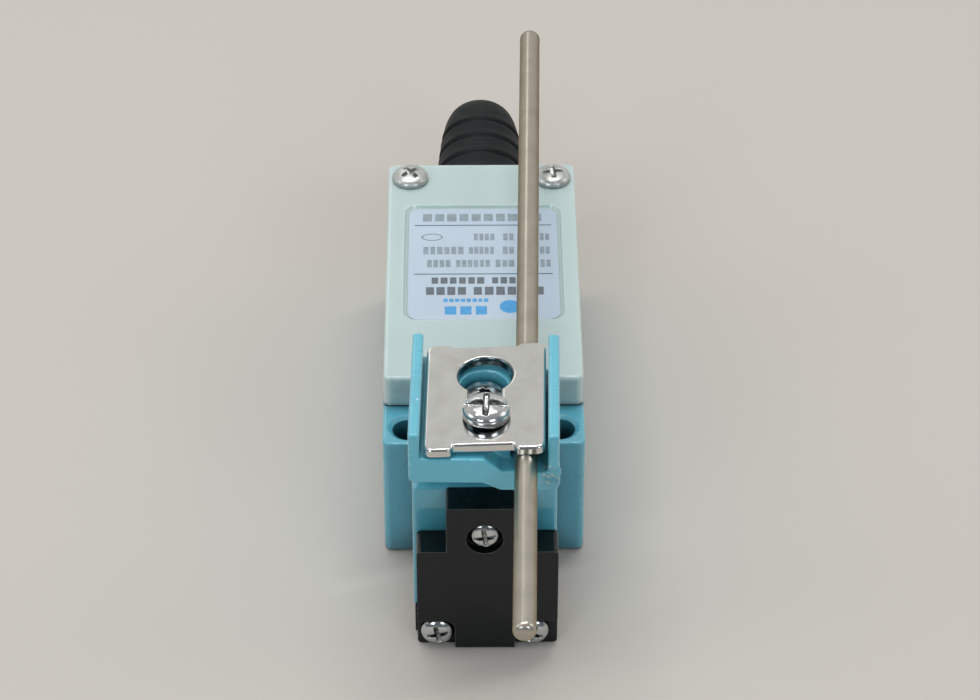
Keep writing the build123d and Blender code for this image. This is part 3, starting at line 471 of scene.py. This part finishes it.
def revolved(rings, count):
    """Faces between rings of count vertices, closed at both ends by one pole vertex each.

    The vertices are ordered first pole, every ring, last pole.
    """
    faces = []
    last = 1 + rings * count
    for i in range(count):
        after = (i + 1) % count
        faces.append((0, 1 + i, 1 + after))
        for ring in range(rings - 1):
            here, below = 1 + ring * count, 1 + (ring + 1) * count
            faces.append((here + i, below + i, below + after, here + after))
        end = 1 + (rings - 1) * count
        faces.append((end + i, last, end + after))
    return faces


# ---------------------------------------------------------------- screws
SCREW_SIDES = 160
HEAD_RINGS = 52


def step(value, soft):
    """0 where value is negative, rising smoothly to 1 at soft."""
    t = max(0.0, min(1.0, value / soft))
    return t * t * (3 - 2 * t)


def cross_depth(x, y, reach, width):
    """Depth, up to 1, of a driver's cross: tapered wings that fall to a conical centre."""
    deepest = step(0.75 * width - math.hypot(x, y), 0.5 * width)
    for along, across in ((abs(x), abs(y)), (abs(y), abs(x))):
        floor = 1.0 - 0.6 * along / reach
        sides = step(width / 2 - across, 0.22 * width)
        end = step(reach - along, 0.25 * reach)
        deepest = max(deepest, floor * sides * end)
    return deepest


def head_height(x, y, head_r, head_h, side, reach, slotted):
    """Height of a screw head's top over (x, y), with its recess."""
    share = min(1.0, math.hypot(x, y) / head_r)
    dome = side + (head_h - side) * (1.0 - share ** 2.4) ** 0.5
    width = (0.30 if slotted else 0.32) * head_r
    top = head_h - 0.62 * head_h * cross_depth(x, y, reach * head_r, width)
    if slotted:
        top = min(top, head_h - 0.40 * head_h * step(0.21 * head_r - abs(y), 0.07 * head_r))
    return min(dome, top)


def screw_mesh(name, head, shank_r, length, pitch, thread, reach=0.66, side=0.36, slotted=False):
    """A pan-head screw along Z: head is (radius, height) above z = 0, the thread ends the shank."""
    head_r, head_h = head
    profile = [(head_r * math.sin(math.pi / 2 * i / HEAD_RINGS), None) for i in range(1, HEAD_RINGS + 1)]
    profile += [(head_r, 0.08 * head_h), (0.97 * head_r, 0.0), (shank_r * 1.05, 0.0)]
    start = min(-0.1 * head_h, -(length - thread))
    end = -length + 0.4 * shank_r
    profile += [(shank_r, -0.02 * head_h), (shank_r, start)]
    threaded = len(profile)
    rows = max(6, int((start - end) / pitch * 6))
    profile += [(shank_r, start + (end - start) * i / rows) for i in range(1, rows + 1)]
    profile.append((0.62 * shank_r, -length))
    centre = head_height(0.0, 0.0, head_r, head_h, side * head_h, reach, slotted)
    vertices = [(0.0, 0.0, centre)]
    for ring, (radius, z) in enumerate(profile):
        for i in range(SCREW_SIDES):
            turn = TAU * i / SCREW_SIDES
            x, y, height, r = radius * math.cos(turn), radius * math.sin(turn), z, radius
            if z is None:
                height = head_height(x, y, head_r, head_h, side * head_h, reach, slotted)
            elif threaded <= ring < len(profile) - 1:
                phase = (z / pitch + turn / TAU) % 1.0
                r = radius - 0.36 * pitch * abs(2 * phase - 1)
            vertices.append((r * math.cos(turn), r * math.sin(turn), height))
    vertices.append((0.0, 0.0, -length))
    faces = [face[::-1] for face in revolved(len(profile), SCREW_SIDES)]
    return smooth_mesh(name, vertices, faces)


FACE_UP = Matrix.Identity(4)
FACE_NEAR = Matrix.Rotation(math.pi / 2, 4, "X")


def place_screw(name, node, place, facing, turn, mesh, look=None):
    mesh.transform(facing @ Matrix.Rotation(math.radians(turn), 4, "Z"))
    stand_in(name, mesh, node, Matrix.Translation(place), look)


def upright(node, head_r, head_h, x=None):
    """Seat of an upright screw in a node's box, and its length below the head."""
    low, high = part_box(node)
    middle = (low.x + high.x) / 2 if x is None else x
    return (middle, (low.y + high.y) / 2, high.z - head_h), high.z - head_h - low.z


def make_cover_screws():
    low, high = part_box("cover_screws")
    head = (2.68 * MM, 1.5 * MM)
    pair = (("cover_screw_left", low.x + head[0], 38), ("cover_screw_right", high.x - head[0], 8))
    for name, x, turn in pair:
        place, length = upright("cover_screws", *head, x)
        mesh = screw_mesh(name, head, 1.5 * MM, length, 0.5 * MM, 8 * MM, side=0.2)
        place_screw(name, "cover_screws", place, FACE_UP, turn, mesh, DULL_ZINC)


def make_cap_corner_screws():
    low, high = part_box("cap_corner_screws")
    head = (2.3 * MM, 1.35 * MM)
    pair = (("cap_screw_left", low.x + head[0], 12), ("cap_screw_right", high.x - head[0], -20))
    for name, x, turn in pair:
        place = (x, low.y + head[1], (low.z + high.z) / 2)
        length = high.y - low.y - head[1]
        mesh = screw_mesh(name, head, 1.15 * MM, length, 0.45 * MM, 7 * MM, reach=0.72, side=0.08)
        place_screw(name, "cap_corner_screws", place, FACE_NEAR, turn, mesh)


def make_cap_centre_screw():
    low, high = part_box("cap_centre_screw")
    head = (2.25 * MM, 1.2 * MM)
    place = ((low.x + high.x) / 2, low.y + head[1], (low.z + high.z) / 2)
    length = high.y - low.y - head[1]
    mesh = screw_mesh(
        "cap_centre_screw_detail", head, 0.95 * MM, length, 0.4 * MM, 5 * MM, reach=0.8, side=0.08
    )
    place_screw("cap_centre_screw_detail", "cap_centre_screw", place, FACE_NEAR, 8, mesh)


def make_clamp_screw():
    head = (3.15 * MM, 2.3 * MM)
    place, length = upright("clamp_screw", *head)
    mesh = screw_mesh(
        "clamp_screw_detail", head, 1.7 * MM, length, 0.6 * MM, 4 * MM, reach=0.88, side=0.42, slotted=True
    )
    place_screw("clamp_screw_detail", "clamp_screw", place, FACE_UP, -3, mesh)


def make_lever_screw():
    head = (2.65 * MM, 1.85 * MM)
    place, length = upright("lever_screw", *head)
    mesh = screw_mesh("lever_screw_detail", head, 1.2 * MM, length, 0.5 * MM, 5 * MM, reach=0.36, side=0.88)
    place_screw("lever_screw_detail", "lever_screw", place, FACE_UP, 30, mesh)


# ---------------------------------------------------------------- rubber boot
BOOT_SIDES = 128
BOOT_STATIONS = 170
BOOT_NUT_GAP = 2.05 * MM  # neck length between the CAD boot's near end and its visible sleeve
BOOT_OUTLINE = (  # half-width, distance past the start of the sleeve, in mm
    (7.05, 0.0), (6.95, 3.4), (6.82, 6.9), (6.62, 10.4), (6.33, 14.4), (5.95, 18.2),
    (5.62, 20.4), (5.18, 22.1), (4.72, 23.3), (4.28, 24.0), (3.95, 24.3),
)
BOOT_LENGTH = BOOT_OUTLINE[-1][1]
BOOT_GROOVES = (2.4, 7.1, 11.8, 16.5)  # distances of their middles, in mm
GROOVE_DEPTH = 0.5 * MM
GROOVE_HALF = 0.44 * MM
CABLE_R = 2.75 * MM
BOOT_NECK_R = 4.8 * MM
BOOT_FLAT = 0.78  # height of the sleeve's oval section over its width


def along_outline(distance):
    """Half-width of the boot's outline at a distance along it."""
    for (first, start), (second, end) in zip(BOOT_OUTLINE, BOOT_OUTLINE[1:]):
        if distance <= end:
            return first + (second - first) * (distance - start) / (end - start)
    return BOOT_OUTLINE[-1][0]


def boot_half_width(distance):
    """The outline again, rounded off over a millimetre so that no corner shows."""
    reach = min(0.6, BOOT_LENGTH - distance)
    return sum(along_outline(distance + reach * k / 3) for k in range(-3, 4)) / 7


def make_boot():
    """Tapered oval sleeve with rounded grooves, a rounded nose and a lined cable hole."""
    low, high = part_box("cable_boot")
    centre_z = (low.z + high.z) / 2
    near = low.y + BOOT_NUT_GAP
    length = high.y - near
    rings = []
    for i in range(BOOT_STATIONS + 1):
        t = i / BOOT_STATIONS
        distance = (1.0 - (1.0 - t) ** 1.25) * BOOT_LENGTH
        radius = boot_half_width(distance) * MM
        for groove in BOOT_GROOVES:
            away = (distance - groove) * MM / GROOVE_HALF
            radius -= GROOVE_DEPTH * math.exp(-abs(away) ** 3 / 1.4)
            radius += 0.07 * MM * math.exp(-((abs(away) - 2.3) / 1.2) ** 2)
        rings.append((radius, near + distance / BOOT_LENGTH * length, BOOT_FLAT))
    tip = rings[-1][0]
    rings += [
        (0.62 * tip + 0.38 * CABLE_R, high.y, 0.86),
        (CABLE_R + 0.12 * MM, high.y - 0.05 * MM, 1.0),
        (CABLE_R, high.y - 0.3 * MM, 1.0),
        (CABLE_R, low.y, 1.0),
        (BOOT_NECK_R, low.y, 1.0),
        (BOOT_NECK_R, near - 0.01 * MM, 1.0),
    ]
    vertices = []
    for radius, y, flat in rings:
        for i in range(BOOT_SIDES):
            turn = TAU * i / BOOT_SIDES
            vertices.append((radius * math.cos(turn), y, centre_z + flat * radius * math.sin(turn)))
    faces = []
    for ring in range(len(rings)):
        here, there = ring * BOOT_SIDES, (ring + 1) % len(rings) * BOOT_SIDES
        for i in range(BOOT_SIDES):
            after = (i + 1) % BOOT_SIDES
            faces.append((here + i, there + i, there + after, here + after))
    stand_in("boot_sleeve", smooth_mesh("boot_sleeve", vertices, faces), "cable_boot")


# ---------------------------------------------------------------- cast lever
LEVER_VOXEL = 0.13 * MM


def softened(name, node, voxel, passes):
    """A copy of a CAD node's mesh with the slightly rounded edges of a painted casting."""
    mesh = frame["nodes"][node].data.copy()
    work = link(bpy.data.objects.new(name, mesh))
    remesh = work.modifiers.new("remesh", "REMESH")
    remesh.mode = "VOXEL"
    remesh.voxel_size = voxel
    smooth = work.modifiers.new("smooth", "SMOOTH")
    smooth.factor = 0.5
    smooth.iterations = passes
    bpy.context.view_layer.update()
    done = bpy.data.meshes.new_from_object(work.evaluated_get(bpy.context.evaluated_depsgraph_get()))
    done.name = name
    bpy.data.objects.remove(work)
    done.shade_smooth()
    return done


def roughen(mesh, centre, radius, depth, grain):
    """Broken, uneven metal within radius of centre, as where a casting gate was cut off."""
    for vertex in mesh.vertices:
        away = (vertex.co - centre).length
        if away < radius:
            fade = step(1.0 - away / radius, 0.7)
            lump = noise.fractal(vertex.co / grain, 0.6, 2.2, 4)
            vertex.co += vertex.normal * (depth * fade * (lump - 0.15))


def make_lever():
    low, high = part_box("lever_arm")
    mesh = softened("lever_casting", "lever_arm", LEVER_VOXEL, 3)
    roughen(mesh, GATE_MARK, 2.4 * MM, 0.42 * MM, 0.6 * MM)
    roughen(mesh, GATE_MARK + Vector((-1.3, 0.6, -1.4)) * MM, 1.5 * MM, 0.30 * MM, 0.45 * MM)
    chip = Vector((low.x + 0.9 * MM, low.y + 8.0 * MM, high.z))
    roughen(mesh, chip, 0.8 * MM, 0.22 * MM, 0.45 * MM)
    mesh.update()
    stand_in("lever_casting", mesh, "lever_arm")


# ---------------------------------------------------------------- label print
INK_HEIGHT = 0.010 * MM
RULE_ROWS = (40.7, 28.9)  # middles in Y, in mm
RULE_SIZE = (20.0, 0.22)
# Rows of plain blocks that stand for print, in mm: middle in Y, height, (left, right, blocks) groups.
FINE_ROWS = (
    (42.6, 1.9, ((-8.9, 9.0, 10),)),
    (37.8, 1.75, ((-1.3, 1.9, 4), (3.0, 4.7, 2), (8.3, 9.9, 2))),
    (34.55, 1.85, ((-8.7, -2.6, 6), (-2.0, 1.8, 5), (2.9, 4.7, 2), (8.3, 9.9, 2))),
    (31.4, 1.8, ((-8.1, -4.5, 4), (-3.9, 1.2, 6), (1.8, 4.7, 3), (8.3, 10.0, 2))),
)
BOLD_ROWS = (
    (27.35, 1.6, ((-7.5, 0.4, 6), (1.2, 7.4, 5))),
    (24.9, 2.0, ((-8.3, -2.2, 4), (-1.5, 5.0, 4), (6.6, 8.9, 2))),
)
ACCENT_ROWS = (
    (22.7, 0.8, ((-5.7, 0.9, 8),)),
    (20.35, 2.0, ((-5.7, 0.9, 3),)),
)
ACCENT_DISC = (3.9, 21.2, 1.5)  # X, Y, radius
DISC_SIDES = 48
OVAL_PLACE = (-7.3, 37.8)
OVAL_SIZE = (1.55, 0.85)
OVAL_HOLE = (0.88, 0.8)  # width and height of its hole over its own
OVAL_SIDES = 64


def print_look(name, color):
    """Printing ink, slightly uneven as it dries."""
    look = Look(name, Roughness=0.5)
    worn = look.span(look.grain(0.5 * MM, 3.0), 0.35, 0.65)
    look.feed("Base Color", look.blend(worn, color, scaled(color, 1.3)))
    return look.material


def block(shape, x, y, width, height, top):
    made = bmesh.ops.create_cube(shape, size=1.0)["verts"]
    bmesh.ops.scale(shape, vec=(width * MM, height * MM, INK_HEIGHT), verts=made)
    bmesh.ops.translate(shape, vec=(x * MM, y * MM, top + INK_HEIGHT / 2), verts=made)


def blocks(shape, rows, top):
    """Every row's groups of plain blocks, of slightly different widths and heights."""
    for y, height, groups in rows:
        for left, right, count in groups:
            pitch = (right - left) / count
            for i in range(count):
                vary = noise.noise(Vector((left + 3.7 * i, y, count)))
                width = pitch * (0.74 + 0.12 * vary)
                tall = height * (0.94 + 0.10 * noise.noise(Vector((y, left + 1.9 * i, 5.0))))
                block(shape, left + pitch * (i + 0.5), y, width, tall, top)


def disc(shape, top):
    """The round spot of accent ink."""
    x, y, radius = (part * MM for part in ACCENT_DISC)
    place = Matrix.Translation(Vector((x, y, top + INK_HEIGHT / 2)))
    sizes = {"radius1": radius, "radius2": radius, "depth": INK_HEIGHT, "segments": DISC_SIDES}
    bmesh.ops.create_cone(shape, cap_ends=True, matrix=place, **sizes)


def oval(shape, top):
    """The outline of a small oval, as one flat ring."""
    edges = []
    for share_x, share_y in ((1.0, 1.0), OVAL_HOLE):
        edge = []
        for i in range(OVAL_SIDES):
            turn = TAU * i / OVAL_SIDES
            x = share_x * OVAL_SIZE[0] * math.cos(turn) + OVAL_PLACE[0]
            y = share_y * OVAL_SIZE[1] * math.sin(turn) + OVAL_PLACE[1]
            edge.append(shape.verts.new((x * MM, y * MM, top + INK_HEIGHT)))
        edges.append(edge)
    outer, inner = edges
    for i in range(OVAL_SIDES):
        after = (i + 1) % OVAL_SIDES
        shape.faces.new((outer[i], outer[after], inner[after], inner[i]))


def print_piece(name, shape, color):
    """A piece of print on the label, made from a finished bmesh."""
    mesh = bpy.data.meshes.new(name)
    shape.to_mesh(mesh)
    shape.free()
    obj = link(bpy.data.objects.new(name, mesh))
    obj.data.materials.append(print_look(name, color))
    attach(obj, "base")


def make_label():
    low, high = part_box("label")
    top = high.z
    middle = (low.x + high.x) / 2 / MM
    rules = bmesh.new()
    for y in RULE_ROWS:
        block(rules, middle, y, *RULE_SIZE, top)
    print_piece("label_rules", rules, srgb(70, 110, 116))
    fine = bmesh.new()
    blocks(fine, FINE_ROWS, top)
    print_piece("label_fine_print", fine, srgb(134, 148, 158))
    bold = bmesh.new()
    blocks(bold, BOLD_ROWS, top)
    print_piece("label_bold_print", bold, srgb(96, 104, 112))
    accent = bmesh.new()
    blocks(accent, ACCENT_ROWS, top)
    disc(accent, top)
    print_piece("label_accent_print", accent, srgb(70, 150, 205))
    mark = bmesh.new()
    oval(mark, top)
    print_piece("label_oval_print", mark, srgb(110, 122, 130))


# ---------------------------------------------------------------- moulding mark on the cap
GATE_DOT_PLACE = (0.4 * MM, 16.7 * MM)  # X, Z on the cap's near face
GATE_DOT_PROFILE = (  # radius, height off the face, in mm
    (0.05, 0.02), (0.10, 0.03), (0.16, 0.11), (0.21, 0.12), (0.26, 0.08), (0.32, -0.03),
)
GATE_DOT_SIDES = 32


def make_gate_dot():
    """Small ring left on the cap's face where its moulding gate was twisted off."""
    low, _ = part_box("head_cap")
    vertices = [(0.0, 0.0, 0.02 * MM)]
    for radius, height in GATE_DOT_PROFILE:
        for i in range(GATE_DOT_SIDES):
            turn = TAU * i / GATE_DOT_SIDES
            vertices.append((radius * MM * math.cos(turn), radius * MM * math.sin(turn), height * MM))
    vertices.append((0.0, 0.0, -0.1 * MM))
    faces = [face[::-1] for face in revolved(len(GATE_DOT_PROFILE), GATE_DOT_SIDES)]
    mesh = smooth_mesh("cap_gate_dot", vertices, faces)
    mesh.transform(FACE_NEAR)
    dot = link(bpy.data.objects.new("cap_gate_dot", mesh))
    dot.location = (GATE_DOT_PLACE[0], low.y, GATE_DOT_PLACE[1])
    dress(dot, "black_plastic")
    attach(dot, "base")


# ---------------------------------------------------------------- springs
COIL_STEPS = 36  # along one turn
WIRE_SIDES = 12


def spring_between(name, node, wire, turns, moving_at_low):
    """A coil between the two ends of a rigid CAD coil along Y, shown in its place."""
    low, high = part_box(node)
    radius = (high.x - low.x) / 2 - wire
    middle_x, middle_z = (low.x + high.x) / 2, (low.z + high.z) / 2
    rise = high.y - low.y - 2 * wire
    steps, sides = turns * COIL_STEPS, WIRE_SIDES
    vertices = []
    for i in range(steps + 1):
        t = i / steps
        eased = t * t * (3 - 2 * t) * 0.25 + t * 0.75
        turn = TAU * turns * t
        centre = Vector((radius * math.cos(turn), low.y + wire + rise * eased, radius * math.sin(turn)))
        along = Vector((-math.sin(turn) * radius * TAU * turns, rise, math.cos(turn) * radius * TAU * turns))
        outward = Vector((math.cos(turn), 0.0, math.sin(turn)))
        across = along.normalized().cross(outward)
        for k in range(sides):
            angle = TAU * k / sides
            offset = outward * math.cos(angle) + across * math.sin(angle)
            point = centre + offset * wire
            vertices.append((point.x + middle_x, point.y, point.z + middle_z))
    faces = [tuple(range(sides)), tuple(reversed(range(steps * sides, (steps + 1) * sides)))]
    for i in range(steps):
        for k in range(sides):
            after = (k + 1) % sides
            here, there = i * sides, (i + 1) * sides
            faces.append((here + after, here + k, there + k, there + after))
    mesh = smooth_mesh(name, vertices, faces)
    obj = link(bpy.data.objects.new(name, mesh))
    dress(obj, SLOT_OF[node])
    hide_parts(node)
    if moving_at_low:
        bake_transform(obj)
    else:
        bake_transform(obj)


def make_springs():
    spring_between("push_coil", "plunger_spring", 0.3 * MM, 5, True)
    spring_between("return_coil", "return_spring", 0.4 * MM, 5, False)
    spring_between("slider_coil", "slider_spring", 0.25 * MM, 5, True)


make_stage()
dress_cad_nodes()
make_cover_screws()
make_cap_corner_screws()
make_cap_centre_screw()
make_clamp_screw()
make_lever_screw()
make_boot()
make_lever()
make_label()
make_gate_dot()
make_springs()
